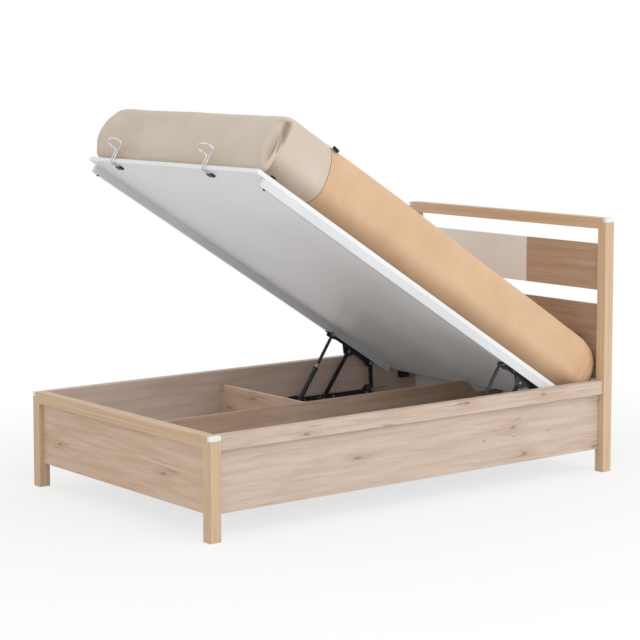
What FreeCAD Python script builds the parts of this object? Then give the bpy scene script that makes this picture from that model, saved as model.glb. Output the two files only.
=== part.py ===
import FreeCAD, Part
import math
import os
import Sketcher

# Single storage bed for a child, shown with its mattress platform lifted.
# X runs across the bed, Y from foot to head, Z up; the origin is on the floor under the middle.

doc = FreeCAD.newDocument("kids_bed")
sheet = doc.addObject("Spreadsheet::Sheet", "dims")
nodes = []
Vector = FreeCAD.Vector
Placement = FreeCAD.Placement
Rotation = FreeCAD.Rotation
X_AXIS = Vector(1, 0, 0)

driving_sizes = [
    # platform and the room it has in the box
    ("deck_width", 1200),
    ("deck_length", 2000),
    ("deck_thick", 18),
    ("deck_seam", 1),
    ("side_clearance", 3),
    ("head_gap", 8),
    ("foot_gap", 22),
    ("rail_thick", 18),
    ("rail_height", 35),
    ("rail_foot_inset", 36),
    ("rail_head_inset", 50),
    # posts, rails and panels of the frame
    ("post_width", 48),
    ("post_depth", 50),
    ("post_step", 1),
    ("post_round", 2),
    ("foot_height", 402),
    ("head_height", 1110),
    ("cap_size", 18),
    ("cap_round", 5),
    ("panel_thick", 18),
    ("edge_ease", 0.8),
    ("floor_gap", 100),
    ("side_height", 302),
    ("band_thick", 22),
    ("band_height", 58),
    ("foot_panel_recess", 21),
    ("head_panel_recess", 21),
    ("head_lower_top", 730),
    ("head_upper_bottom", 793),
    ("head_upper_top", 994),
    ("head_split", 140),
    # storage box
    ("floor_thick", 8),
    ("floor_play", 0.5),
    ("batten_width", 20),
    ("batten_height", 20),
    ("divider_thick", 18),
    ("divider_top", 343),
    ("divider_low_top", 283),
    ("divider_curve_run", 38),
    ("divider_low_run", 169),
    ("divider_curve_round", 60),
    ("cross_divider_back", 1150),
    ("notch_play", 4),
    ("rest_block_length", 53),
    ("rest_block_height", 38),
    ("rest_block_depth", 24),
    ("rest_block_back", 55),
    ("rest_gap", 0.5),
    ("dowel_radius", 4),
    ("dowel_length", 60),
    ("dowel_low", 60),
    ("dowel_high", 240),
    # lift mechanism, lengths back from the head end of the box or of the deck
    ("arm_pivot_back", 588),
    ("arm_pivot_height", 218),
    ("strut_spread", 151),
    ("arm_length", 260),
    # the rest of the linkage, as shares of the arm's length
    ("link_share", 0.4769),
    ("base_spread", 1.1192),
    ("base_rise", 0.0769),
    ("deck_spread", 0.5731),
    ("deck_rise", 0.05),
    # pivots and plates of the lift
    ("arm_open_angle", 54.5),
    ("deck_arm_back", 328),
    ("deck_arm_drop", 80),
    ("deck_strut_back", 461),
    ("deck_strut_drop", 58),
    ("plate_thick", 4),
    ("plate_edge", 17),
    ("plate_bar", 34),
    ("plate_round", 7),
    ("bolt_foot_run", 90),
    ("bolt_mid_run", 80.5),
    ("bolt_head_run", 13),
    ("bolt_lift", 3.5),
    ("bolt_radius", 4),
    ("bolt_head_radius", 8.5),
    ("bolt_head_rise", 4.5),
    ("nut_radius", 7),
    ("nut_thick", 5),
    ("web_thick", 4),
    ("web_lobe", 20),
    ("web_end_lobe", 16),
    ("web_waist", 13),
    ("web_head_waist", 24),
    ("lobe_flat", 14),
    ("lobe_slope", 30),
    ("flange_thick", 4),
    ("web_round", 6),
    ("layer_gap", 1),
    ("bar_thick", 6),
    ("arm_width", 20),
    ("link_width", 20),
    ("eye_radius", 13),
    ("pin_radius", 5),
    ("pin_head_radius", 8.5),
    ("pin_head_thick", 4),
    ("pin_tail", 2),
    ("bush_radius", 12),
    ("running_gap", 0.05),
    ("face_gap", 0.3),
    ("slot_play", 0.5),
    ("screw_radius", 1.75),
    ("screw_length", 20),
    ("screw_head_radius", 3.8),
    ("screw_head_thick", 2.4),
    # gas struts
    ("strut_eye_radius", 10),
    ("strut_eye_thick", 12),
    ("strut_pin_radius", 4),
    ("strut_neck_radius", 5),
    ("strut_neck_length", 22),
    ("cylinder_radius", 7.5),
    ("cylinder_end", 155),
    ("cylinder_wall", 30),
    ("rod_radius", 4),
    ("rod_engaged", 45),
    ("rod_shown", 20),
    ("guard_radius", 10.5),
    ("guard_bore_play", 0.7),
    ("guard_collar", 1.2),
    ("guard_collar_length", 8),
    ("guard_base", 30),
    # mattress and its retaining hoops
    ("mattress_height", 252),
    ("mattress_inset", 3),
    ("mattress_head_round", 100),
    ("mattress_head_low_round", 60),
    ("mattress_foot_round", 50),
    ("mattress_foot_low_round", 45),
    ("mattress_side_round", 36),
    ("mattress_crown", 8),
    ("mattress_foot_bulge", 14),
    ("mattress_head_bulge", 16),
    ("hoop_wire_radius", 3),
    ("hoop_standoff", 8),
    ("hoop_stem_half", 9),
    ("hoop_half_width", 52),
    ("hoop_neck", 40),
    ("hoop_lean", 53),
    ("hoop_shoulder", 30),
    ("hoop_rise", 62),
    ("hoop_bend", 14),
    ("hoop_reach", 52),
    ("hoop_left_inset", 190),
    ("hoop_right_inset", 350),
    ("clip_width", 34),
    ("clip_length", 22),
    ("clip_height", 9),
    ("stud_radius", 5),
    ("stud_height", 4),
    ("stud_inset", 30),
]
for row, (alias, value) in enumerate(driving_sizes, start=1):
    sheet.set(f"A{row}", alias)
    sheet.set(f"B{row}", str(value))
    sheet.setAlias(f"B{row}", alias)
doc.recompute()


def size(alias):
    return float(sheet.get(alias))


def keep(obj, label):
    obj.Label = label
    nodes.append(obj)
    return obj


def bind(obj, **formulas):
    for name, formula in formulas.items():
        obj.setExpression(name, formula)


def at(x, y, z):
    return Placement(Vector(x, y, z), Rotation())


def turned(x, y, z, angle):
    """A place whose own Y axis is turned up from the bed's Y axis by angle, in radians."""
    return Placement(Vector(x, y, z), Rotation(X_AXIS, math.degrees(angle)))


# Places in the frame that follow from the driving sizes
half_deck = size("deck_width") / 2
panel_in = half_deck + size("side_clearance")
panel_out = panel_in + size("panel_thick")
post_in = panel_in - size("post_step")
post_out = post_in + size("post_width")
half_box = (size("deck_length") + size("head_gap") + size("foot_gap")) / 2
half_length = half_box + size("post_depth")
foot_panel_y = -half_length + size("foot_panel_recess")
foot_panel_in = foot_panel_y + size("panel_thick")
head_panel_y = half_box + size("head_panel_recess")
head_board_y = head_panel_y - size("panel_thick")
box_floor = size("floor_gap") + size("batten_height")
floor_top = box_floor + size("floor_thick")
SIDES = (("left", -1), ("right", 1))


# Linkage of the lift, solved in the Y-Z plane as complex numbers y + iz
def circles_meet(centre_a, radius_a, centre_b, radius_b):
    """The meeting point of two circles that lies to the left of the line from a to b."""
    span = abs(centre_b - centre_a)
    along = (radius_a ** 2 - radius_b ** 2 + span ** 2) / (2 * span)
    off = math.sqrt(radius_a ** 2 - along ** 2)
    return centre_a + (centre_b - centre_a) / span * complex(along, off)


def angle_of(point):
    return math.atan2(point.imag, point.real)


def turn(point, angle):
    return point * complex(math.cos(angle), math.sin(angle))


arm_base = complex(half_box - size("arm_pivot_back"), size("arm_pivot_height"))
link_base = arm_base + size("arm_length") * complex(size("base_spread"), size("base_rise"))
link_length = size("arm_length") * size("link_share")
strut_base = arm_base - size("strut_spread")
deck_arm = complex(size("deck_length") - size("deck_arm_back"), -size("deck_arm_drop"))
deck_link = deck_arm + size("arm_length") * complex(size("deck_spread"), size("deck_rise"))
deck_strut = complex(size("deck_length") - size("deck_strut_back"), -size("deck_strut_drop"))


def platform_at(arm_angle):
    """The platform's foot edge and tilt when the front arm stands at arm_angle."""
    arm_end = arm_base + turn(size("arm_length"), arm_angle)
    link_end = circles_meet(arm_end, abs(deck_link - deck_arm), link_base, link_length)
    tilt = angle_of(link_end - arm_end) - angle_of(deck_link - deck_arm)
    return arm_end - turn(deck_arm, tilt), tilt


def level_arm_angle():
    """The arm's angle at which the platform lies level, found by halving."""
    low = 0.0
    high = math.radians(size("arm_open_angle"))
    for _ in range(60):
        middle = (low + high) / 2
        if platform_at(middle)[1] < 0:
            high = middle
        else:
            low = middle
    return (low + high) / 2


open_arm = math.radians(size("arm_open_angle"))
closed_arm = level_arm_angle()
deck_foot, deck_tilt = platform_at(open_arm)
closed_foot, closed_tilt = platform_at(closed_arm)
arm_top = deck_foot + turn(deck_arm, deck_tilt)
link_top = deck_foot + turn(deck_link, deck_tilt)
strut_top = deck_foot + turn(deck_strut, deck_tilt)
closed_link = closed_foot + deck_link - link_base
closed_strut = closed_foot + deck_strut - strut_base
open_link = link_top - link_base
open_strut = strut_top - strut_base
arm_travel = closed_arm - open_arm
tilt_rate = (closed_tilt - deck_tilt) / arm_travel
link_rate = (angle_of(closed_link) - angle_of(open_link)) / arm_travel
strut_rate = (angle_of(closed_strut) - angle_of(open_strut)) / arm_travel
stroke_rate = (abs(closed_strut) - abs(open_strut)) / arm_travel
strut_length = abs(open_strut)
closed_rail_bottom = closed_foot.imag - size("deck_thick") - size("rail_height")


def drift_of_foot_pins(share):
    """How far the lower pins of link and strut stand from their seats at a share of the travel."""
    swing = share * arm_travel
    tilt = deck_tilt + tilt_rate * swing
    arm_end = arm_base + turn(arm_top - arm_base, swing)
    link_end = arm_end + turn(deck_link - deck_arm, tilt)
    strut_end = arm_end + turn(deck_strut - deck_arm, tilt)
    link_foot = link_end - turn(open_link, link_rate * swing)
    strut_angle = angle_of(open_strut) + strut_rate * swing
    strut_foot = strut_end - turn(strut_length + stroke_rate * swing, strut_angle)
    return link_foot - link_base, strut_foot - strut_base


TRAVEL_STEPS = 24
drifts = [drift_of_foot_pins(step / TRAVEL_STEPS) for step in range(TRAVEL_STEPS + 1)]


def slot_run(path):
    """The farthest point of a pin's drift, and the widest it strays beside that line."""
    reach = max(path, key=abs)
    aside = max(abs((point / reach).imag) * abs(reach) for point in path)
    return reach, aside


link_reach, link_aside = slot_run([drift[0] for drift in drifts])
strut_reach, strut_aside = slot_run([drift[1] for drift in drifts])

# Layers of the lift, measured out from the middle of the bed
plate_face = panel_in - size("plate_thick")
web_in = half_deck - size("rail_thick") - size("web_thick")
bar_out = web_in - size("layer_gap")
bar_mid = bar_out - size("bar_thick") / 2
bar_in = bar_out - size("bar_thick")
strut_mid = web_in - size("layer_gap") - size("guard_radius") - size("guard_collar")
deck_place = turned(0, deck_foot.real, deck_foot.imag, deck_tilt)


# Shapes that many pieces share
def board(label, length, width, height, place):
    """A board with its edges eased, its sizes given as formulas."""
    blank = doc.addObject("Part::Box", label + "_blank")
    bind(blank, Length=length, Width=width, Height=height)
    doc.recompute()
    eased = doc.addObject("Part::Chamfer", label)
    ease = size("edge_ease")
    eased.Base = blank
    eased.Edges = [(index, ease, ease) for index in range(1, len(blank.Shape.Edges) + 1)]
    eased.Placement = place
    return eased


def rod_across(label, radius, length, x, y, z):
    """A round bar along X that starts at x, its sizes given as formulas."""
    bar = doc.addObject("Part::Cylinder", label)
    bind(bar, Radius=radius, Height=length)
    bar.Placement = Placement(Vector(x, y, z), Rotation(Vector(0, 1, 0), 90))
    return bar


def rod_along(label, radius, length, y):
    """A round bar along its own Y that starts at y, its sizes given as formulas."""
    bar = doc.addObject("Part::Cylinder", label)
    bind(bar, Radius=radius, Height=length)
    bar.Placement = Placement(Vector(0, y, 0), Rotation(X_AXIS, -90))
    return bar


def fused(label, pieces):
    joined = doc.addObject("Part::MultiFuse", label)
    joined.Shapes = pieces
    joined.Refine = True
    return joined


def grouped(label, pieces):
    group = doc.addObject("Part::Compound", label)
    group.Links = pieces
    return group


def cut(label, base, tools):
    tool = tools[0] if len(tools) == 1 else fused(label + "_tools", tools)
    result = doc.addObject("Part::Cut", label)
    result.Base = base
    result.Tool = tool
    result.Refine = True
    return result


def plate_body(label, plane, corners, thick):
    """A body padded by thick from a closed outline of (formula, formula) corners on an origin plane."""
    body = doc.addObject("PartDesign::Body", label)
    sketch = body.newObject("Sketcher::SketchObject", label + "_outline")
    plane_feature = [item for item in body.Origin.OriginFeatures if item.Role == plane][0]
    sketch.AttachmentSupport = [(plane_feature, "")]
    sketch.MapMode = "FlatFace"
    points = []
    for formulas in corners:
        spot = [float(sheet.evalExpression(formula)) for formula in formulas]
        points.append(Vector(spot[0], spot[1], 0))
    count = len(points)
    for index in range(count):
        sketch.addGeometry(Part.LineSegment(points[index], points[(index + 1) % count]), False)
    for index in range(count):
        sketch.addConstraint(Sketcher.Constraint("Coincident", index, 2, (index + 1) % count, 1))
    for index, formulas in enumerate(corners):
        for kind, formula, value in zip(("DistanceX", "DistanceY"), formulas, points[index]):
            number = sketch.addConstraint(Sketcher.Constraint(kind, -1, 1, index, 1, value))
            sketch.setExpression(f"Constraints[{number}]", formula)
    pad = body.newObject("PartDesign::Pad", label + "_pad")
    pad.Profile = sketch
    bind(pad, Length=thick)
    doc.recompute()
    return body, pad


def rounded(body, base, edges, radius):
    """Rounds the named edges of a body's last feature."""
    fillet = body.newObject("PartDesign::Fillet", body.Name + "_round")
    fillet.Base = (base, edges)
    bind(fillet, Radius=radius)
    doc.recompute()
    return fillet


def edges_along(feature, axis, longer_than):
    """Names of the straight edges that run along axis and are longer than a length."""
    names = []
    for index, edge in enumerate(feature.Shape.Edges, start=1):
        run = edge.Vertexes[-1].Point - edge.Vertexes[0].Point
        if run.Length > longer_than and abs(run.dot(axis)) > 0.999 * run.Length:
            names.append(f"Edge{index}")
    return names


def slot_tool(label, start, reach, radius, length, x):
    """A cutter for a round-ended slot that runs from start by reach, both in the Y-Z plane."""
    far = start + reach
    first = rod_across(label + "_start", radius, length, x, start.real, start.imag)
    last = rod_across(label + "_end", radius, length, x, far.real, far.imag)
    run = doc.addObject("Part::Box", label + "_run")
    bind(run, Length=length, Height=f"2 * ({radius})")
    run.Width = abs(reach)
    half_width = float(sheet.evalExpression(radius))
    place = turned(x, start.real, start.imag, angle_of(reach))
    run.Placement = place.multiply(at(0, 0, -half_width))
    return [first, last, run]


# Outlines shared by the posts and rails of both ends
def post_outline(height):
    """A post's front: notched at its outer top corner for the cap and mitred to meet the rail."""
    return [
        ("0", "0"),
        ("dims.post_width", "0"),
        ("dims.post_width", f"dims.{height} - dims.cap_size"),
        ("dims.post_width - dims.cap_size", f"dims.{height} - dims.cap_size"),
        ("0", f"dims.{height} - dims.post_width"),
    ]


rail_length = "(dims.deck_width + 2 * (dims.side_clearance - dims.post_step + dims.post_width - dims.cap_size))"
mitre_run = "(dims.post_width - dims.cap_size)"
rail_outline = [
    (mitre_run, "0"),
    (f"{rail_length} - {mitre_run}", "0"),
    (rail_length, mitre_run),
    (rail_length, "dims.post_width"),
    ("0", "dims.post_width"),
    ("0", mitre_run),
]
between_posts = "dims.deck_width + 2 * (dims.side_clearance - dims.post_step)"
box_length = "(dims.deck_length + dims.head_gap + dims.foot_gap)"
inner_length = f"({box_length} + dims.post_depth - dims.foot_panel_recess + dims.head_panel_recess" \
    " - 2 * dims.panel_thick)"
divider_height = "dims.divider_top - dims.floor_gap - dims.batten_height - dims.floor_thick"
half_inside = "dims.deck_width / 2 + dims.side_clearance"
HALF_TURN = Rotation(Vector(0, 0, 1), 180)


def dowel_spots(side, end):
    """Where the dowels of one corner start, on the joint between side panel and post."""
    x = side * (panel_in + size("panel_thick") / 2)
    y = end * half_box - size("dowel_length") / 2
    heights = (size("dowel_low"), size("dowel_high"))
    return [Vector(x, y, size("floor_gap") + height) for height in heights]


def dowel_bar(label, spot, radius):
    bar = doc.addObject("Part::Cylinder", label)
    bind(bar, Radius=radius, Height="dims.dowel_length")
    bar.Placement = Placement(spot, Rotation(X_AXIS, -90))
    return bar


def dowel_holes(label, side, end):
    spots = dowel_spots(side, end)
    radius = "dims.dowel_radius + dims.running_gap"
    return [dowel_bar(f"{label}_hole_{count}", spot, radius) for count, spot in enumerate(spots)]


def make_post(end_name, end, side_name, side):
    label = f"{end_name}_post_{side_name}"
    body, pad = plate_body(label + "_bar", "XZ_Plane", post_outline(f"{end_name}_height"), "dims.post_depth")
    rounded(body, pad, edges_along(pad, Vector(0, 0, 1), 2 * size("post_width")), "dims.post_round")
    near = half_box if end > 0 else -half_length
    if side > 0:
        body.Placement = at(post_in, near + size("post_depth"), 0)
    else:
        body.Placement = Placement(Vector(-post_in, near, 0), HALF_TURN)
    keep(cut(label, body, dowel_holes(label, side, end)), label)


def make_top_rail(end_name, end):
    label = f"{end_name}_top_rail"
    body, pad = plate_body(label, "XZ_Plane", rail_outline, "dims.post_depth")
    rounded(body, pad, edges_along(pad, X_AXIS, post_in), "dims.post_round")
    far = half_length if end > 0 else -half_box
    left = -(post_out - size("cap_size"))
    body.Placement = at(left, far, size(f"{end_name}_height") - size("post_width"))
    keep(body, label)


def make_corner_cap(end_name, end, side_name, side):
    """A moulded cap in a post's notch, rounded along its outer top edge."""
    label = f"{end_name}_cap_{side_name}"
    blank = doc.addObject("Part::Box", label + "_blank")
    bind(blank, Length="dims.cap_size", Width="dims.post_depth", Height="dims.cap_size")
    doc.recompute()
    outer = size("cap_size") if side > 0 else 0
    corner = Vector(outer, size("post_depth") / 2, size("cap_size"))
    edges = enumerate(blank.Shape.Edges, start=1)
    outer_edge = [index for index, edge in edges if (edge.CenterOfMass - corner).Length < size("edge_ease")]
    cap = doc.addObject("Part::Fillet", label)
    cap.Base = blank
    cap.Edges = [(outer_edge[0], size("cap_round"), size("cap_round"))]
    x = post_out - size("cap_size") if side > 0 else -post_out
    y = half_box if end > 0 else -half_length
    cap.Placement = at(x, y, size(f"{end_name}_height") - size("cap_size"))
    return cap


ENDS = (("foot", -1), ("head", 1))
caps = []
dowels = []
for end_name, end in ENDS:
    make_top_rail(end_name, end)
    for side_name, side in SIDES:
        make_post(end_name, end, side_name, side)
        caps.append(make_corner_cap(end_name, end, side_name, side))
        for count, spot in enumerate(dowel_spots(side, end)):
            dowels.append(dowel_bar(f"{end_name}_dowel_{side_name}_{count}", spot, "dims.dowel_radius"))
keep(grouped("corner_caps", caps), "corner_caps")
keep(grouped("side_panel_dowels", dowels), "side_panel_dowels")


# Foot and head panels
foot_panel_height = "dims.foot_height - dims.post_width - dims.floor_gap"
keep(board("foot_panel", between_posts, "dims.panel_thick", foot_panel_height,
           at(-post_in, foot_panel_y, size("floor_gap"))), "foot_panel")
keep(board("head_lower_panel", between_posts, "dims.panel_thick", "dims.head_lower_top - dims.floor_gap",
           at(-post_in, head_panel_y, size("floor_gap"))), "head_lower_panel")
upper_height = "dims.head_upper_top - dims.head_upper_bottom"
half_between = f"({between_posts}) / 2"
keep(board("head_cream_panel", f"{half_between} + dims.head_split", "dims.panel_thick", upper_height,
           at(-post_in, head_panel_y, size("head_upper_bottom"))), "head_cream_panel")
keep(board("head_oak_panel", f"{half_between} - dims.head_split", "dims.panel_thick", upper_height,
           at(size("head_split"), head_panel_y, size("head_upper_bottom"))), "head_oak_panel")
keep(board("head_end_board", between_posts, "dims.panel_thick", "dims.side_height",
           at(-post_in, head_board_y, size("floor_gap"))), "head_end_board")


# Side panels with their top bands, bored for dowels and for the bolts of the lift
bolt_height = size("arm_pivot_height") + size("bolt_lift")
bolt_spots = [
    complex(arm_base.real - size("bolt_foot_run"), bolt_height),
    complex(arm_base.real + size("bolt_mid_run"), bolt_height),
    complex(link_base.real - size("bolt_head_run"), bolt_height),
]


def make_side(side_name, side):
    label = f"side_panel_{side_name}"
    inner = panel_in if side > 0 else -panel_out
    blank = board(label + "_board", "dims.panel_thick", box_length, "dims.side_height",
                  at(inner, -half_box, size("floor_gap")))
    holes = dowel_holes(label + "_foot", side, -1) + dowel_holes(label + "_head", side, 1)
    for count, spot in enumerate(bolt_spots):
        holes.append(rod_across(f"{label}_bolt_{count}", "dims.bolt_radius + dims.running_gap",
                                "dims.panel_thick", inner, spot.real, spot.imag))
    keep(cut(label, blank, holes), label)
    outer = panel_out if side > 0 else -panel_out - size("band_thick")
    top = size("floor_gap") + size("side_height")
    keep(board(f"side_band_{side_name}", "dims.band_thick", box_length, "dims.band_height",
               at(outer, -half_box, top - size("band_height"))), f"side_band_{side_name}")


for side_name, side in SIDES:
    make_side(side_name, side)


# Storage box: battens, floor and dividers
battens = []
for side_name, side in SIDES:
    batten = doc.addObject("Part::Box", f"batten_{side_name}")
    bind(batten, Length="dims.batten_width", Width=box_length, Height="dims.batten_height")
    batten_x = panel_in - size("batten_width") if side > 0 else -panel_in
    batten.Placement = at(batten_x, -half_box, size("floor_gap"))
    battens.append(batten)
middle_batten = doc.addObject("Part::Box", "batten_middle")
bind(middle_batten, Length="dims.batten_width", Width=inner_length, Height="dims.batten_height")
middle_batten.Placement = at(-size("batten_width") / 2, foot_panel_in, size("floor_gap"))
battens.append(middle_batten)
keep(grouped("floor_battens", battens), "floor_battens")

floor_width = f"{half_inside} - dims.post_step - dims.floor_play"
floor_length = f"{inner_length} - 2 * dims.floor_play"
floor_y = foot_panel_in + size("floor_play")
for side_name, side in SIDES:
    floor_x = 0 if side > 0 else -(post_in - size("floor_play"))
    keep(board(f"floor_{side_name}", floor_width, floor_length, "dims.floor_thick",
               at(floor_x, floor_y, box_floor)), f"floor_{side_name}")


def make_centre_divider():
    """The long divider, dropped in a smooth curve at the head end to clear the lifted platform."""
    low_height = "dims.divider_low_top - dims.floor_gap - dims.batten_height - dims.floor_thick"
    low_start = f"{inner_length} - dims.divider_low_run"
    outline = [
        ("0", "0"),
        (inner_length, "0"),
        (inner_length, low_height),
        (low_start, low_height),
        (f"{low_start} - dims.divider_curve_run", divider_height),
        ("0", divider_height),
    ]
    body, pad = plate_body("centre_divider", "YZ_Plane", outline, "dims.divider_thick")
    low_y = float(sheet.evalExpression(low_start))
    curve_edges = []
    for name in edges_along(pad, X_AXIS, 0):
        spot = pad.Shape.getElement(name).CenterOfMass
        if low_y - size("divider_curve_run") - 1 < spot.y < low_y + 1:
            curve_edges.append(name)
    rounded(body, pad, curve_edges, "dims.divider_curve_round")
    body.Placement = at(-size("divider_thick") / 2, foot_panel_in, floor_top)
    keep(body, "centre_divider")


make_centre_divider()


def make_cross_divider():
    """The short divider of the left half, notched at the side panel where the platform rail comes down."""
    y = half_box - size("cross_divider_back")
    blank = board("cross_divider_board", f"{half_inside} - dims.divider_thick / 2", "dims.divider_thick",
                  divider_height, at(-panel_in, y, floor_top))
    notch = doc.addObject("Part::Box", "cross_divider_notch")
    bind(notch, Length="dims.side_clearance + dims.rail_thick + dims.notch_play", Width="dims.divider_thick",
         Height="dims.side_height")
    notch.Placement = at(-panel_in, y, closed_rail_bottom - size("notch_play"))
    keep(cut("cross_divider", blank, [notch]), "cross_divider")


make_cross_divider()

rest_blocks = []
for side_name, side in SIDES:
    block_x = panel_in - size("rest_block_depth") if side > 0 else -panel_in
    block_top = closed_rail_bottom - size("rest_gap")
    block_y = half_box - size("rest_block_back") - size("rest_block_length")
    rest_blocks.append(board(f"rest_block_{side_name}", "dims.rest_block_depth", "dims.rest_block_length",
                             "dims.rest_block_height", at(block_x, block_y, block_top - size("rest_block_height"))))
keep(grouped("rest_blocks", rest_blocks), "rest_blocks")


# Base plates of the lift, slotted where the lower pins of link and strut float
def make_base_plate(side_name, side):
    label = f"base_plate_{side_name}"
    arm_at = f"{box_length} / 2 - dims.arm_pivot_back"
    link_at = f"{arm_at} + dims.arm_length * dims.base_spread"
    start = f"{arm_at} - dims.strut_spread - dims.plate_edge - {abs(strut_reach.real)}"
    strut_end = f"{arm_at} - dims.strut_spread + dims.plate_edge"
    link_start = f"{link_at} - dims.plate_edge"
    end = f"{link_at} + dims.plate_edge + {abs(link_reach.real)}"
    low = "dims.arm_pivot_height - dims.plate_edge"
    bar_top = f"{low} + dims.plate_bar"
    strut_lobe = f"dims.arm_pivot_height + dims.plate_edge + {abs(strut_reach.imag)}"
    link_lobe = "dims.arm_pivot_height + dims.arm_length * dims.base_rise + dims.plate_edge"
    outline = [
        (start, low),
        (end, low),
        (end, link_lobe),
        (link_start, link_lobe),
        (f"{link_start} - dims.plate_edge", bar_top),
        (f"{strut_end} + dims.plate_edge", bar_top),
        (strut_end, strut_lobe),
        (start, strut_lobe),
    ]
    body, pad = plate_body(label + "_blank", "YZ_Plane", outline, "dims.plate_thick")
    rounded(body, pad, edges_along(pad, X_AXIS, 0), "dims.plate_round")
    inner = plate_face if side > 0 else -panel_in
    body.Placement = at(inner, 0, 0)
    tools = [rod_across(label + "_arm_hole", "dims.pin_radius", "dims.plate_thick", inner,
                        arm_base.real, arm_base.imag)]
    for count, spot in enumerate(bolt_spots):
        tools.append(rod_across(f"{label}_bolt_{count}", "dims.bolt_radius + dims.running_gap",
                                "dims.plate_thick", inner, spot.real, spot.imag))
    tools += slot_tool(label + "_link_slot", link_base, link_reach,
                       f"dims.pin_radius + dims.slot_play + {link_aside}", "dims.plate_thick", inner)
    tools += slot_tool(label + "_strut_slot", strut_base, strut_reach,
                       f"dims.strut_pin_radius + dims.slot_play + {strut_aside}", "dims.plate_thick", inner)
    keep(cut(label, body, tools), label)


def dome_bolt(side, spot):
    """A bolt along X with a domed head outside the side panel and a shank into the nut."""
    shank_start = plate_face - size("nut_thick") - size("face_gap")
    rise = size("bolt_head_rise")
    head = size("bolt_head_radius")
    shank = size("bolt_radius")
    ball = (head ** 2 + rise ** 2) / (2 * rise)
    half_angle = math.asin(head / ball) / 2
    centre = panel_out + rise - ball
    crown = Vector(centre + ball * math.cos(half_angle), ball * math.sin(half_angle), 0)
    rim = Vector(panel_out, head, 0)
    tip = Vector(panel_out + rise, 0, 0)
    line = [
        Vector(shank_start, 0, 0),
        Vector(shank_start, shank, 0),
        Vector(panel_out, shank, 0),
        rim,
    ]
    edges = [Part.LineSegment(line[index], line[index + 1]).toShape() for index in range(len(line) - 1)]
    edges.append(Part.Arc(rim, crown, tip).toShape())
    edges.append(Part.LineSegment(tip, line[0]).toShape())
    bolt = Part.Face(Part.Wire(edges)).revolve(Vector(0, 0, 0), X_AXIS, 360)
    spin = Rotation() if side > 0 else HALF_TURN
    bolt.Placement = Placement(Vector(0, spot.real, spot.imag), spin)
    return bolt


def lock_nut(label, side, spot):
    blank = doc.addObject("Part::Prism", label + "_blank")
    blank.Polygon = 6
    bind(blank, Circumradius="dims.nut_radius", Height="dims.nut_thick")
    hole = doc.addObject("Part::Cylinder", label + "_hole")
    bind(hole, Radius="dims.bolt_radius + dims.running_gap", Height="dims.nut_thick")
    nut = cut(label, blank, [hole])
    start = plate_face - size("nut_thick") if side > 0 else -plate_face
    nut.Placement = Placement(Vector(start, spot.real, spot.imag), Rotation(Vector(0, 1, 0), 90))
    return nut


def stepped_pin(label, side, spot, steps):
    """A pin along X turned in steps of (radius formula, start, end), outward from the bed's middle."""
    pieces = []
    for count, (radius, start, end) in enumerate(steps):
        pieces.append(rod_across(f"{label}_{count}", radius, str(end - start), start, 0, 0))
    pin = fused(label, pieces)
    spin = Rotation() if side > 0 else HALF_TURN
    pin.Placement = Placement(Vector(0, spot.real, spot.imag), spin)
    return pin


pin_head_in = bar_in - size("face_gap") - size("pin_head_thick")
pin_head_out = bar_in - size("face_gap")
strut_in = strut_mid - size("strut_eye_thick") / 2
strut_out = strut_mid + size("strut_eye_thick") / 2
strut_head_out = strut_in - size("face_gap")
strut_head_in = strut_head_out - size("pin_head_thick")
web_out = web_in + size("web_thick")

bolts = []
nuts = []
arm_pins = []
link_pins = []
strut_pins = []
bracket_pins = []
for side_name, side in SIDES:
    make_base_plate(side_name, side)
    for count, spot in enumerate(bolt_spots):
        bolts.append(dome_bolt(side, spot))
        nuts.append(lock_nut(f"nut_{side_name}_{count}", side, spot))
    arm_pins.append(stepped_pin(f"arm_pin_{side_name}", side, arm_base, [
        ("dims.pin_head_radius", pin_head_in, pin_head_out),
        ("dims.pin_radius", pin_head_out, panel_in),
        ("dims.bush_radius", bar_out + size("face_gap"), plate_face),
    ]))
    link_pins.append(stepped_pin(f"link_pin_{side_name}", side, link_base, [
        ("dims.pin_head_radius", bar_in - size("pin_head_thick"), bar_in),
        ("dims.pin_radius", bar_in, panel_in - size("face_gap")),
        ("dims.bush_radius", bar_out, plate_face - size("face_gap")),
    ]))
    strut_pins.append(stepped_pin(f"strut_pin_{side_name}", side, strut_base, [
        ("dims.pin_head_radius", strut_in - size("pin_head_thick"), strut_in),
        ("dims.strut_pin_radius", strut_in, panel_in - size("face_gap")),
        ("dims.pin_head_radius", strut_out, plate_face - size("face_gap")),
    ]))
    for name, spot in (("arm", arm_top), ("link", link_top)):
        bracket_pins.append(stepped_pin(f"bracket_{name}_pin_{side_name}", side, spot, [
            ("dims.pin_head_radius", pin_head_in, pin_head_out),
            ("dims.pin_radius", pin_head_out, web_out + size("pin_tail")),
        ]))
    bracket_pins.append(stepped_pin(f"bracket_strut_pin_{side_name}", side, strut_top, [
        ("dims.pin_head_radius", strut_head_in, strut_head_out),
        ("dims.strut_pin_radius", strut_head_out, web_out),
        ("dims.pin_head_radius", strut_out + size("face_gap"), web_in),
    ]))
bolt_group = doc.addObject("Part::Feature", "panel_bolts")
bolt_group.Shape = Part.makeCompound(bolts)
keep(bolt_group, "panel_bolts")
keep(grouped("bolt_nuts", nuts), "bolt_nuts")
keep(grouped("arm_pivot_pins", arm_pins), "arm_pivot_pins")
keep(grouped("link_foot_pins", link_pins), "link_foot_pins")
keep(grouped("strut_foot_pins", strut_pins), "strut_foot_pins")
keep(grouped("bracket_pins", bracket_pins), "bracket_pins")


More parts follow.
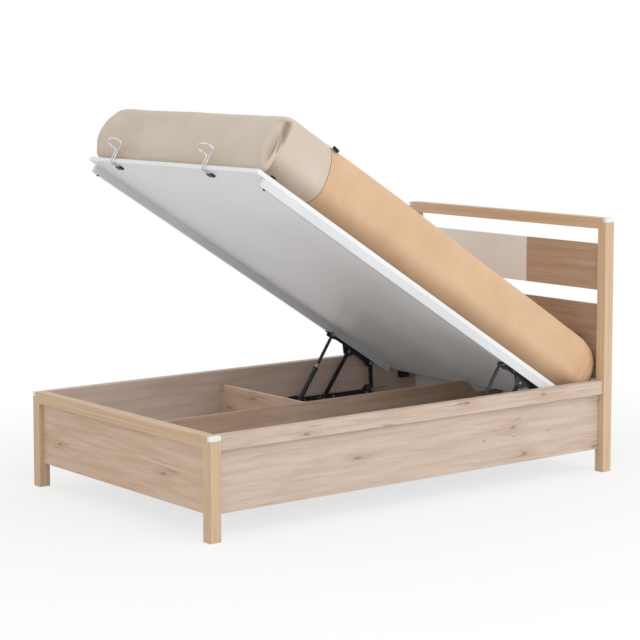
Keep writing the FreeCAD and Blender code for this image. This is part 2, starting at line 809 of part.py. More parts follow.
# Front arms and rear links: flat bars with a round eye at each end
def link_bar(label, length, width, foot_hole, top_hole, place):
    bar = doc.addObject("Part::Box", label + "_bar")
    bind(bar, Length="dims.bar_thick", Width=length, Height=width)
    half_thick = size("bar_thick") / 2
    reach = float(sheet.evalExpression(length))
    bar.Placement = at(-half_thick, 0, -float(sheet.evalExpression(width)) / 2)
    eyes = [rod_across(f"{label}_eye_{y:.0f}", "dims.eye_radius", "dims.bar_thick", -half_thick, y, 0)
            for y in (0, reach)]
    holes = [
        rod_across(label + "_foot_hole", foot_hole, "dims.bar_thick", -half_thick, 0, 0),
        rod_across(label + "_top_hole", top_hole, "dims.bar_thick", -half_thick, reach, 0),
    ]
    link = cut(label, fused(label + "_blank", [bar] + eyes), holes)
    link.Placement = place
    keep(link, label)


turning_hole = "dims.pin_radius + dims.running_gap"
for side_name, side in SIDES:
    link_bar(f"front_arm_{side_name}", "dims.arm_length", "dims.arm_width", turning_hole, turning_hole,
             turned(side * bar_mid, arm_base.real, arm_base.imag, open_arm))
    link_bar(f"rear_link_{side_name}", "dims.arm_length * dims.link_share", "dims.link_width",
             "dims.pin_radius", turning_hole,
             turned(side * bar_mid, link_base.real, link_base.imag, angle_of(open_link)))


# Gas struts, modelled along their own Y from the upper eye down
def make_strut(side_name, side):
    eye_start = -size("strut_eye_thick") / 2
    guard_start = size("cylinder_end") + size("rod_shown")
    guard_end = strut_length - size("strut_eye_radius")
    bore_end = guard_end - size("guard_base")
    rod_start = size("cylinder_end") - size("rod_engaged")
    place = turned(side * strut_mid, strut_top.real, strut_top.imag, angle_of(-open_strut))

    label = f"gas_cylinder_{side_name}"
    solid = fused(label + "_solid", [
        rod_across(label + "_eye", "dims.strut_eye_radius", "dims.strut_eye_thick", eye_start, 0, 0),
        rod_along(label + "_neck", "dims.strut_neck_radius", "dims.strut_neck_length", 0),
        rod_along(label + "_tube", "dims.cylinder_radius",
                  "dims.cylinder_end - dims.strut_neck_length", size("strut_neck_length")),
    ])
    cylinder = cut(label, solid, [
        rod_across(label + "_pin_hole", "dims.strut_pin_radius + dims.running_gap",
                   "dims.strut_eye_thick", eye_start, 0, 0),
        rod_along(label + "_bore", "dims.rod_radius + dims.running_gap",
                  "dims.cylinder_end - dims.cylinder_wall", size("cylinder_wall")),
    ])
    cylinder.Placement = place
    keep(cylinder, label)

    rod = rod_along(f"gas_rod_{side_name}", "dims.rod_radius", str(bore_end - rod_start), rod_start)
    rod.Placement = place.multiply(rod.Placement)
    keep(rod, f"gas_rod_{side_name}")

    label = f"rod_guard_{side_name}"
    solid = fused(label + "_solid", [
        rod_along(label + "_tube", "dims.guard_radius", str(guard_end - guard_start), guard_start),
        rod_along(label + "_collar", "dims.guard_radius + dims.guard_collar",
                  "dims.guard_collar_length", guard_start),
        rod_along(label + "_neck", "dims.strut_neck_radius", str(strut_length - bore_end), bore_end),
        rod_across(label + "_eye", "dims.strut_eye_radius", "dims.strut_eye_thick", eye_start, strut_length, 0),
    ])
    guard = cut(label, solid, [
        rod_along(label + "_bore", "dims.cylinder_radius + dims.guard_bore_play",
                  str(bore_end - guard_start), guard_start),
        rod_across(label + "_pin_hole", "dims.strut_pin_radius", "dims.strut_eye_thick",
                   eye_start, strut_length, 0),
    ])
    guard.Placement = place
    keep(guard, label)


for side_name, side in SIDES:
    make_strut(side_name, side)


# Platform: deck boards, rails, lift brackets
half_board = "(dims.deck_length - dims.deck_seam) / 2"
deck_half = (size("deck_length") + size("deck_seam")) / 2
for name, start in (("foot", 0), ("head", deck_half)):
    keep(board(f"deck_board_{name}", "dims.deck_width", half_board, "dims.deck_thick",
               deck_place.multiply(at(-half_deck, start, -size("deck_thick")))), f"deck_board_{name}")
rail_bottom = -size("deck_thick") - size("rail_height")
rail_run = "dims.deck_length - dims.rail_foot_inset - dims.rail_head_inset"
for side_name, side in SIDES:
    rail_x = half_deck - size("rail_thick") if side > 0 else -half_deck
    keep(board(f"platform_rail_{side_name}", "dims.rail_thick", rail_run, "dims.rail_height",
               deck_place.multiply(at(rail_x, size("rail_foot_inset"), rail_bottom))), f"platform_rail_{side_name}")


def make_bracket(side_name, side):
    """The angle under a platform rail, its web lobed round the three pivots."""
    label = f"lift_bracket_{side_name}"
    low = "dims.deck_arm_drop + dims.web_lobe"
    top = f"{low} - dims.deck_thick - dims.rail_height"
    strut_at = "dims.web_lobe"
    arm_at = "dims.deck_strut_back - dims.deck_arm_back + dims.web_lobe"
    link_at = f"{arm_at} + dims.arm_length * dims.deck_spread"
    strut_low = f"{low} - dims.deck_strut_drop - dims.web_end_lobe"
    link_low = "dims.arm_length * dims.deck_rise"
    waist = f"{top} - dims.web_waist"
    head_waist = f"{top} - dims.web_head_waist"
    slope = "(dims.lobe_flat + dims.lobe_slope)"
    outline = [
        ("0", top),
        ("0", strut_low),
        (f"{strut_at} + dims.lobe_flat", strut_low),
        (f"{strut_at} + {slope}", waist),
        (f"{arm_at} - {slope}", waist),
        (f"{arm_at} - dims.lobe_flat", "0"),
        (f"{arm_at} + dims.lobe_flat", "0"),
        (f"{arm_at} + {slope}", head_waist),
        (f"{link_at} - {slope}", head_waist),
        (f"{link_at} - dims.lobe_flat", link_low),
        (f"{link_at} + dims.web_lobe", link_low),
        (f"{link_at} + dims.web_lobe", top),
    ]
    body, pad = plate_body(label + "_web", "YZ_Plane", outline, "dims.web_thick")
    rounded(body, pad, edges_along(pad, X_AXIS, 0), "dims.web_round")
    inner = web_in if side > 0 else -web_out
    low_n = -float(sheet.evalExpression(low))
    start_s = deck_strut.real - size("web_lobe")
    body.Placement = at(inner, start_s, low_n)
    flange = doc.addObject("Part::Box", label + "_flange")
    bind(flange, Length="dims.web_thick + dims.rail_thick", Width=f"{link_at} + dims.web_lobe",
         Height="dims.flange_thick")
    flange_x = web_in if side > 0 else -half_deck
    flange.Placement = at(flange_x, start_s, rail_bottom - size("flange_thick"))
    tools = []
    for name, spot, radius in (("arm", deck_arm, "dims.pin_radius"), ("link", deck_link, "dims.pin_radius"),
                               ("strut", deck_strut, "dims.strut_pin_radius")):
        tools.append(rod_across(f"{label}_{name}_hole", radius, "dims.web_thick", inner, spot.real, spot.imag))
    for count, spot in enumerate(screw_spots(side)):
        hole = doc.addObject("Part::Cylinder", f"{label}_screw_{count}")
        bind(hole, Radius="dims.screw_radius + dims.running_gap", Height="dims.flange_thick")
        hole.Placement = at(spot.x, spot.y, rail_bottom - size("flange_thick"))
        tools.append(hole)
    bracket = cut(label, fused(label + "_angle", [body, flange]), tools)
    bracket.Placement = deck_place
    keep(bracket, label)


def screw_spots(side):
    """Where the bracket's screws go up into the rail, in the platform's own frame."""
    x = side * (half_deck - size("rail_thick") / 2)
    between = [(deck_strut.real + deck_arm.real) / 2, (deck_arm.real + deck_link.real) / 2]
    ends = [deck_strut.real, deck_link.real]
    return [Vector(x, s, rail_bottom - size("flange_thick")) for s in ends[:1] + between + ends[1:]]


def make_screw(label, spot):
    head = doc.addObject("Part::Cone", label + "_head")
    bind(head, Radius1="dims.screw_head_radius - dims.screw_head_thick / 2", Radius2="dims.screw_head_radius",
         Height="dims.screw_head_thick")
    head.Placement = at(0, 0, -size("screw_head_thick"))
    shank = doc.addObject("Part::Cylinder", label + "_shank")
    bind(shank, Radius="dims.screw_radius", Height="dims.screw_length")
    screw = fused(label, [head, shank])
    screw.Placement = deck_place.multiply(at(spot.x, spot.y, spot.z))
    return screw


screws = []
studs = []
for side_name, side in SIDES:
    make_bracket(side_name, side)
    for count, spot in enumerate(screw_spots(side)):
        screws.append(make_screw(f"bracket_screw_{side_name}_{count}", spot))
    stud = doc.addObject("Part::Cylinder", f"rail_stud_{side_name}")
    bind(stud, Radius="dims.stud_radius", Height="dims.stud_height")
    stud_x = side * (half_deck - size("rail_thick") / 2)
    stud_s = size("rail_foot_inset") + size("stud_inset")
    stud.Placement = deck_place.multiply(at(stud_x, stud_s, rail_bottom - size("stud_height")))
    studs.append(stud)
keep(grouped("bracket_screws", screws), "bracket_screws")
keep(grouped("rail_studs", studs), "rail_studs")


# Retaining hoops of bent wire at the foot edge, each in a clip under the deck
def bent_path(points, bend):
    """A wire of straight runs through points, joined by tangent arcs of radius bend."""
    edges = []
    start = points[0]
    for before, corner, after in zip(points, points[1:], points[2:]):
        into = (before - corner).normalize()
        out = (after - corner).normalize()
        opening = into.getAngle(out)
        run = bend / math.tan(opening / 2)
        middle = (into + out).normalize()
        centre_run = bend / math.sin(opening / 2)
        first = corner + into * run
        last = corner + out * run
        edges.append(Part.LineSegment(start, first).toShape())
        edges.append(Part.Arc(first, corner + middle * (centre_run - bend), last).toShape())
        start = last
    edges.append(Part.LineSegment(start, points[-1]).toShape())
    return Part.Wire(edges)


wire_drop = -size("deck_thick") - size("clip_height") / 2


def make_hoop(label, middle):
    stem = size("hoop_stem_half")
    wide = size("hoop_half_width")
    front = -size("hoop_standoff")
    crest = wide - size("hoop_bend")
    lean = math.radians(size("hoop_lean"))
    neck = Vector(stem, front, size("hoop_neck"))
    out = Vector(0, -math.sin(lean), math.cos(lean))
    half = [
        Vector(stem, size("hoop_reach"), wire_drop),
        Vector(stem, front, wire_drop),
        neck,
        neck + out * size("hoop_shoulder") + X_AXIS * (wide - stem),
        neck + out * size("hoop_rise") + X_AXIS * (crest - stem),
    ]
    other = [Vector(-point.x, point.y, point.z) for point in reversed(half)]
    path = bent_path(half + other, size("hoop_bend") / 2)
    section = Part.Wire(Part.makeCircle(size("hoop_wire_radius"), half[0], Vector(0, -1, 0)))
    hoop = doc.addObject("Part::Feature", label)
    hoop.Shape = path.makePipeShell([section], True, True)
    hoop.Placement = deck_place.multiply(at(middle, 0, 0))
    keep(hoop, label)


def make_clip(label, middle):
    blank = board(label + "_block", "dims.clip_width", "dims.clip_length", "dims.clip_height",
                  at(-size("clip_width") / 2, size("hoop_reach") - size("clip_length"),
                     -size("deck_thick") - size("clip_height")))
    grooves = []
    for count, stem in enumerate((-size("hoop_stem_half"), size("hoop_stem_half"))):
        groove = rod_along(f"{label}_groove_{count}", "dims.hoop_wire_radius + dims.running_gap",
                           "dims.clip_length", size("hoop_reach") - size("clip_length"))
        groove.Placement = at(stem, 0, wire_drop).multiply(groove.Placement)
        grooves.append(groove)
    clip = cut(label, blank, grooves)
    clip.Placement = deck_place.multiply(at(middle, 0, 0))
    return clip


clips = []
hoop_middles = (("left", size("hoop_left_inset") - half_deck), ("right", half_deck - size("hoop_right_inset")))
for side_name, middle in hoop_middles:
    make_hoop(f"mattress_hoop_{side_name}", middle)
    clips.append(make_clip(f"hoop_clip_{side_name}", middle))
keep(grouped("hoop_clips", clips), "hoop_clips")


# Mattress: a crowned side profile, full at the foot and well rounded at the head
def corner_arc(first, corner, last):
    """A quarter round from first to last whose square corner is corner."""
    centre = first + last - corner
    return Part.Arc(first, centre + (corner - centre).normalize() * (first - centre).Length, last).toShape()


def make_mattress():
    half = half_deck - size("mattress_inset")
    base = size("face_gap")
    top = size("mattress_height") - size("mattress_crown")
    foot = size("mattress_inset")
    head = size("deck_length")
    foot_low = size("mattress_foot_low_round")
    foot_high = size("mattress_foot_round")
    head_low = size("mattress_head_low_round")
    head_high = size("mattress_head_round")

    def spot(s, n):
        return Vector(-half, s, n)

    middle = spot((foot + head) / 2, size("mattress_height"))
    belly = spot(foot - size("mattress_foot_bulge"), (base + foot_low + top - foot_high) / 2)
    crest = spot(head + size("mattress_head_bulge"), (base + top) / 2)
    edges = [
        Part.LineSegment(spot(foot + foot_low, base), spot(head - head_low, base)).toShape(),
        Part.Arc(spot(head - head_low, base), crest, spot(head - head_high, top)).toShape(),
        Part.Arc(spot(head - head_high, top), middle, spot(foot + foot_high, top)).toShape(),
        corner_arc(spot(foot + foot_high, top), spot(foot, top), spot(foot, top - foot_high)),
        Part.Arc(spot(foot, top - foot_high), belly, spot(foot, base + foot_low)).toShape(),
        corner_arc(spot(foot, base + foot_low), spot(foot, base), spot(foot + foot_low, base)),
    ]
    block = Part.Face(Part.Wire(edges)).extrude(Vector(2 * half, 0, 0))
    ends = [edge for edge in block.Edges if abs(abs(edge.CenterOfMass.x) - half) < size("face_gap")]
    mattress = doc.addObject("Part::Feature", "mattress")
    mattress.Shape = block.makeFillet(size("mattress_side_round"), ends)
    mattress.Placement = deck_place
    keep(mattress, "mattress")


make_mattress()

doc.recompute()
for obj in doc.Objects:
    if "Invalid" in obj.State or "Error" in obj.State:
        raise RuntimeError(f"{obj.Name} did not build")
for node in nodes:
    if node.Shape.isNull() or not node.Shape.isValid():
        raise RuntimeError(f"{node.Label} has no valid shape")
os.makedirs("parts", exist_ok=True)
for node in nodes:
    node.Shape.exportStep(f"parts/{node.Label}.step")
print(len(nodes), "nodes, platform tilt", round(math.degrees(deck_tilt), 3))
for name, spot in (("arm_base", arm_base), ("arm_top", arm_top), ("link_base", link_base), ("link_top", link_top),
                   ("strut_base", strut_base), ("strut_top", strut_top), ("deck_foot", deck_foot),
                   ("closed_foot", closed_foot)):
    print(name, round(spot.real, 4), round(spot.imag, 4))
print("arm travel", math.degrees(arm_travel), "tilt rate", tilt_rate, "link rate", link_rate)
print("strut rate", strut_rate, "stroke rate", stroke_rate, "strut length", strut_length)
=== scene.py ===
import math
import bpy
import bmesh
from mathutils import Matrix, Vector, noise


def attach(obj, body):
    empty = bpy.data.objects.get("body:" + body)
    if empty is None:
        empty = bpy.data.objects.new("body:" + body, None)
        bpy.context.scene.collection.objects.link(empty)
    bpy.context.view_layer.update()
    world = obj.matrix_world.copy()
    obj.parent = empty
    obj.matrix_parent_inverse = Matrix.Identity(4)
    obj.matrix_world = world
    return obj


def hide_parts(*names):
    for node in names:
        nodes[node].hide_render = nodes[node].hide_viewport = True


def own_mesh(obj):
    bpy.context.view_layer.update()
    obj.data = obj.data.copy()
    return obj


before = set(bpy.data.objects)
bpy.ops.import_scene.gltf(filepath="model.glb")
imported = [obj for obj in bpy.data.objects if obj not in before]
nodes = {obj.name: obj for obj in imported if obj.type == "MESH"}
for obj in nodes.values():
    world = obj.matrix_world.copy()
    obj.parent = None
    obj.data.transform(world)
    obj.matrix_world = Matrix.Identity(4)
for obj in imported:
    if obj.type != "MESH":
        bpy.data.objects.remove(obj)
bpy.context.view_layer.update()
print("frame loaded:", len(nodes), "nodes")


# colours are written as seen on screen and used as linear light
def linear(red, green, blue):
    return tuple(((c / 255 + 0.055) / 1.055) ** 2.4 for c in (red, green, blue)) + (1.0,)


def newMaterial(name, roughness=0.5, metallic=0.0):
    material = bpy.data.materials.new(name)
    material.use_nodes = True
    shader = material.node_tree.nodes["Principled BSDF"]
    shader.inputs["Roughness"].default_value = roughness
    shader.inputs["Metallic"].default_value = metallic
    return material, shader


# one finish's node tree, with short calls for the nodes used over and over
class FinishTree:
    def __init__(self, material):
        self.nodes = material.node_tree.nodes
        self.links = material.node_tree.links
        self.point = self.add("ShaderNodeTexCoord").outputs["Object"]

    def add(self, kind, **settings):
        node = self.nodes.new(kind)
        for key, value in settings.items():
            setattr(node, key, value)
        return node

    def feed(self, socket, value):
        if isinstance(value, (int, float, tuple)):
            socket.default_value = value
        else:
            self.links.new(value, socket)

    def mapped(self, scale, turn=(0, 0, 0), move=(0, 0, 0), source=None):
        node = self.add("ShaderNodeMapping")
        node.inputs["Scale"].default_value = scale
        node.inputs["Rotation"].default_value = turn
        node.inputs["Location"].default_value = move
        self.feed(node.inputs["Vector"], source or self.point)
        return node.outputs["Vector"]

    def noise(self, vector, scale=1.0, detail=4.0, rough=0.5, distortion=0.0):
        node = self.add("ShaderNodeTexNoise")
        for name, value in (("Scale", scale), ("Detail", detail), ("Roughness", rough), ("Distortion", distortion)):
            node.inputs[name].default_value = value
        self.feed(node.inputs["Vector"], vector)
        return node.outputs["Fac"]

    def math(self, operation, first, second=0.0):
        node = self.add("ShaderNodeMath", operation=operation)
        self.feed(node.inputs[0], first)
        self.feed(node.inputs[1], second)
        return node.outputs[0]

    def ramp(self, value, low, high, outLow=0.0, outHigh=1.0):
        node = self.add("ShaderNodeMapRange", interpolation_type="SMOOTHSTEP")
        for socket, number in zip(node.inputs, (value, low, high, outLow, outHigh)):
            self.feed(socket, number)
        return node.outputs[0]

    def mix(self, factor, first, second):
        node = self.add("ShaderNodeMix", data_type="RGBA")
        for index, value in ((0, factor), (6, first), (7, second)):
            self.feed(node.inputs[index], value)
        return node.outputs[2]

    def bump(self, height, shader, strength, distance):
        node = self.add("ShaderNodeBump")
        node.inputs["Strength"].default_value = strength
        node.inputs["Distance"].default_value = distance
        self.feed(node.inputs["Height"], height)
        self.feed(shader.inputs["Normal"], node.outputs["Normal"])


# tan oak of posts and rails: straight grain along the member
straightOak = dict(
    pale=linear(218, 190, 158), deep=linear(205, 173, 139), line=linear(182, 147, 113),
    bandsPerM=95.0, linesPerM=420.0, roughness=0.5)


def straightOakMaterial(grain):
    look = straightOak
    material, shader = newMaterial("tanOak" + grain, look["roughness"])
    tree = FinishTree(material)

    def alongGrain(along, across):
        return tree.mapped(tuple(along if axis == grain else across for axis in "XYZ"))

    bands = tree.noise(alongGrain(0.9, look["bandsPerM"]), 1.0, 3.0, 0.55, 0.4)
    lines = tree.noise(alongGrain(4.0, look["linesPerM"]), 1.0, 2.0, 0.6)
    broad = tree.noise(alongGrain(0.7, 14.0), 1.0, 2.0)
    colour = tree.mix(tree.ramp(bands, 0.34, 0.66), look["deep"], look["pale"])
    colour = tree.mix(tree.ramp(lines, 0.46, 0.28, 0.0, 0.6), colour, look["line"])
    colour = tree.mix(tree.ramp(broad, 0.48, 0.78, 0.0, 0.35), colour, look["deep"])
    tree.feed(shader.inputs["Base Color"], colour)
    tree.feed(shader.inputs["Roughness"], tree.ramp(lines, 0.3, 0.7, look["roughness"] + 0.1, look["roughness"] - 0.06))
    tree.bump(tree.math("ADD", lines, bands), shader, 0.14, 0.0005)
    return material


# oak decor of the boards: fine streaks, faint arches, a knot here and there
def oakDecorMaterial(name, grain, across, depth, pale, middle, deep, knot, move, knotless=0.62):
    material, shader = newMaterial(name, 0.58)
    tree = FinishTree(material)
    parts = tree.add("ShaderNodeSeparateXYZ")
    tree.feed(parts.inputs[0], tree.mapped((1, 1, 1), move=move))
    along, side, thick = (parts.outputs["XYZ".index(axis)] for axis in (grain, across, depth))
    plane = tree.add("ShaderNodeCombineXYZ")
    tree.feed(plane.inputs[0], tree.math("ADD", along, tree.math("MULTIPLY", thick, 1.9)))
    tree.feed(plane.inputs[1], side)
    plane = plane.outputs[0]

    def pattern(alongScale, acrossScale):
        return tree.mapped((alongScale, acrossScale, 1.0), source=plane)

    # only some of the cells hold a knot
    cells = tree.add("ShaderNodeTexVoronoi", feature="F1", voronoi_dimensions="2D")
    cells.inputs["Scale"].default_value = 1.0
    cells.inputs["Randomness"].default_value = 0.85
    tree.feed(cells.inputs["Vector"], pattern(2.3, 6.5))
    pick = tree.add("ShaderNodeSeparateColor")
    tree.feed(pick.inputs[0], cells.outputs["Color"])
    chosen = tree.ramp(pick.outputs[0], knotless - 0.02, knotless + 0.02)
    near = cells.outputs["Distance"]
    core = tree.math("MULTIPLY", chosen, tree.ramp(near, 0.060, 0.018))
    halo = tree.math("MULTIPLY", chosen, tree.ramp(near, 0.26, 0.02))
    reach = tree.math("MULTIPLY", chosen, tree.ramp(near, 0.55, 0.10))
    # arches, bent by slow noise and round the knots
    slow = tree.noise(pattern(0.8, 3.0), 1.0, 2.0, 0.5, 0.2)
    bent = tree.math("ADD", tree.math("MULTIPLY", side, 26.0), tree.math("MULTIPLY", slow, 7.0))
    bent = tree.math("ADD", bent, tree.math("MULTIPLY", halo, 1.4))
    arches = tree.ramp(tree.math("PINGPONG", bent, 0.5), 0.0, 0.20, 1.0, 0.0)
    cloud = tree.noise(pattern(0.7, 3.2), 1.3, 2.0)
    streak = tree.noise(pattern(2.2, 30.0), 1.0, 5.0, 0.65, 0.3)
    fibre = tree.noise(pattern(5.0, 210.0), 1.0, 4.0, 0.7, 0.3)
    pores = tree.noise(pattern(26.0, 430.0), 1.0, 1.0)
    cracks = tree.noise(pattern(5.0, 120.0), 1.0, 2.0, 0.5, 0.8)
    colour = tree.mix(tree.ramp(streak, 0.30, 0.68), middle, pale)
    colour = tree.mix(tree.ramp(fibre, 0.50, 0.28, 0.0, 0.36), colour, deep)
    colour = tree.mix(tree.ramp(fibre, 0.56, 0.76, 0.0, 0.30), colour, pale)
    colour = tree.mix(tree.math("MULTIPLY", arches, tree.ramp(cloud, 0.46, 0.72, 0.0, 0.26)), colour, deep)
    colour = tree.mix(tree.ramp(cloud, 0.56, 0.82, 0.0, 0.35), colour, middle)
    colour = tree.mix(tree.ramp(pores, 0.68, 0.76, 0.0, 0.35), colour, deep)
    colour = tree.mix(tree.math("MULTIPLY", halo, 0.34), colour, deep)
    colour = tree.mix(tree.math("MULTIPLY", reach, tree.ramp(cracks, 0.60, 0.68, 0.0, 0.55)), colour, knot)
    colour = tree.mix(tree.math("MULTIPLY", core, 0.5), colour, knot)
    tree.feed(shader.inputs["Base Color"], colour)
    tree.feed(shader.inputs["Roughness"], tree.ramp(fibre, 0.3, 0.7, 0.66, 0.52))
    tree.bump(tree.math("SUBTRACT", fibre, pores), shader, 0.12, 0.0004)
    return material


# smooth laminated and lacquered boards
def boardMaterial(name, colour, shade, roughness):
    material, shader = newMaterial(name, roughness)
    tree = FinishTree(material)
    soft = tree.noise(tree.point, 3.0, 3.0)
    pearl = tree.noise(tree.point, 380.0, 2.0)
    tree.feed(shader.inputs["Base Color"], tree.mix(tree.ramp(soft, 0.35, 0.7), colour, shade))
    tree.feed(shader.inputs["Roughness"], tree.ramp(pearl, 0.35, 0.65, roughness - 0.05, roughness + 0.05))
    tree.bump(pearl, shader, 0.10, 0.0003)
    return material


# powder coat, plating and mouldings
def coatMaterial(name, colour, worn, roughness, metallic, grainPerM, strength):
    material, shader = newMaterial(name, roughness, metallic)
    tree = FinishTree(material)
    grain = tree.noise(tree.point, grainPerM, 3.0)
    cloudy = tree.noise(tree.point, 34.0, 4.0, 0.6)
    tree.feed(shader.inputs["Base Color"], tree.mix(tree.ramp(cloudy, 0.42, 0.72), colour, worn))
    tree.feed(shader.inputs["Roughness"], tree.ramp(cloudy, 0.3, 0.7, roughness * 0.82, roughness * 1.18))
    tree.bump(grain, shader, strength, 0.0004)
    return material


# two-tone woven cover: beige before the seam, tan behind it, by the seam distance kept on the mesh
coverLook = dict(
    beigePale=linear(217, 203, 187), beigeDeep=linear(202, 185, 166),
    tanPale=linear(224, 187, 150), tanDeep=linear(206, 167, 129),
    seamEdgeShadow=linear(84, 62, 46), paintedShadeTone=linear(122, 92, 66), threadsPerM=230.0)


def coverMaterial():
    look = coverLook
    material, shader = newMaterial("wovenCover", 0.86)
    shader.inputs["Sheen Weight"].default_value = 0.22
    shader.inputs["Sheen Roughness"].default_value = 0.45
    tree = FinishTree(material)
    seam = tree.add("ShaderNodeAttribute", attribute_name="seamDistance").outputs["Fac"]
    lay = tree.mapped((1, 1, 1), turn=(math.radians(-platform["tiltDeg"]), 0, 0))
    weave = None
    for axis in "XYZ":
        wave = tree.add("ShaderNodeTexWave", wave_type="BANDS", bands_direction=axis)
        wave.inputs["Scale"].default_value = look["threadsPerM"]
        wave.inputs["Distortion"].default_value = 1.2
        wave.inputs["Detail"].default_value = 1.0
        tree.feed(wave.inputs["Vector"], lay)
        weave = tree.math("ADD", weave, wave.outputs["Fac"]) if weave else wave.outputs["Fac"]
    slub = tree.noise(tree.mapped((60, 14, 60), source=lay), 1.0, 3.0, 0.6)
    cross = tree.noise(tree.mapped((14, 60, 14), source=lay), 1.0, 3.0, 0.6)
    cloud = tree.noise(tree.point, 5.0, 3.0)
    beige = tree.mix(tree.ramp(cloud, 0.30, 0.75, 0.0, 0.5), look["beigePale"], look["beigeDeep"])
    tan = tree.mix(tree.ramp(cloud, 0.30, 0.75, 0.0, 0.5), look["tanPale"], look["tanDeep"])
    beige = tree.mix(tree.ramp(slub, 0.56, 0.78, 0.0, 0.45), beige, look["beigeDeep"])
    tan = tree.mix(tree.ramp(cross, 0.56, 0.78, 0.0, 0.45), tan, look["tanDeep"])
    colour = tree.mix(tree.ramp(seam, -0.0004, 0.0004), beige, tan)
    # painted shade: a deeper tone in the fold's recess and the dent by the near foot corner, and where the sides roll
    # under
    paintedShadeAmount = tree.add("ShaderNodeAttribute", attribute_name="foldShade").outputs["Fac"]
    colour = tree.mix(tree.math("MULTIPLY", paintedShadeAmount, 0.8), colour, look["paintedShadeTone"])
    # painted shadow of the beige flap's edge: a dark line just behind the seam
    line = tree.ramp(tree.math("ABSOLUTE", tree.math("SUBTRACT", seam, 0.0012)), 0.0022, 0.0010)
    colour = tree.mix(tree.math("MULTIPLY", line, 0.8), colour, look["seamEdgeShadow"])
    tree.feed(shader.inputs["Base Color"], colour)
    tree.bump(tree.math("ADD", tree.math("MULTIPLY", weave, 0.35), tree.math("ADD", slub, cross)), shader, 0.22, 0.0006)
    return material


# platform frame: foot edge and tilt of the deck, so that y runs to the head and z out of the deck
platform = dict(footY=-0.79808, footZ=1.38279, tiltDeg=-31.969)
platformPlace = Matrix.Translation((0, platform["footY"], platform["footZ"])) @ Matrix.Rotation(
    math.radians(platform["tiltDeg"]), 4, "X")

blackCoat = coatMaterial("blackPowderCoat", (0.010, 0.011, 0.014, 1), (0.026, 0.028, 0.034, 1), 0.40, 0.0, 900, 0.2)
plated = coatMaterial("zincPlate", (0.40, 0.41, 0.43, 1), (0.54, 0.55, 0.56, 1), 0.34, 1.0, 700, 0.08)
wireSteel = coatMaterial("hoopWire", (0.66, 0.68, 0.70, 1), (0.80, 0.81, 0.82, 1), 0.26, 1.0, 500, 0.05)
blackPlastic = coatMaterial("blackMoulding", (0.016, 0.016, 0.017, 1), (0.032, 0.032, 0.033, 1), 0.5, 0.0, 500, 0.15)
whitePlastic = coatMaterial("whiteCap", linear(240, 240, 239), linear(232, 232, 231), 0.35, 0.0, 300, 0.05)
whiteBoard = boardMaterial("whiteLaminate", linear(225, 227, 229), linear(219, 221, 223), 0.40)
# a brighter copy of the white laminate for the deck boards: painted light on their shaded underside
brightenedDeckBoard = boardMaterial("deckLaminate", linear(243, 244, 245), linear(239, 240, 241), 0.40)
creamBoard = boardMaterial("creamLacquer", linear(240, 239, 237), linear(235, 233, 230), 0.45)
decorTones = dict(
    side=(linear(217, 197, 183), linear(203, 179, 161), linear(176, 147, 125), linear(120, 92, 72)),
    # darker copy of the oak decor: painted shade on the centre divider
    inner=(linear(184, 157, 137), linear(168, 139, 117), linear(143, 112, 90), linear(98, 72, 54)),
    foot=(linear(219, 193, 170), linear(204, 173, 146), linear(178, 143, 114), linear(122, 90, 66)),
    # darker copy of the oak decor: painted shade on the head panel behind the mattress
    head=(linear(196, 167, 143), linear(178, 146, 121), linear(150, 117, 93), linear(98, 70, 52)),
    # darker still: painted shade on the lower head panel under the platform
    headLow=(linear(181, 152, 129), linear(163, 132, 108), linear(136, 105, 83), linear(90, 64, 47)))
decorSide = oakDecorMaterial("oakDecorSide", "Y", "Z", "X", *decorTones["side"], (0.31, 0.15, 0.42))
shadedDecorInner = oakDecorMaterial("oakDecorInner", "Y", "Z", "X", *decorTones["inner"], (0.11, 0.35, 0.77))
decorBand = oakDecorMaterial("oakDecorBand", "Y", "Z", "X", *decorTones["side"], (0.02, 0.93, 1.71))
decorFoot = oakDecorMaterial("oakDecorFoot", "X", "Z", "Y", *decorTones["foot"], (0.55, 0.21, 0.33), 0.35)
shadedDecorHead = oakDecorMaterial("oakDecorHead", "X", "Z", "Y", *decorTones["head"], (1.28, 0.0, 0.07), 0.45)
shadedDecorHeadLow = oakDecorMaterial("oakDecorHeadLow", "X", "Z", "Y", *decorTones["headLow"], (1.28, 0.0, 0.07), 0.45)
tanOakUp, tanOakAcross, dowelBeech = (straightOakMaterial(grain) for grain in "ZXY")
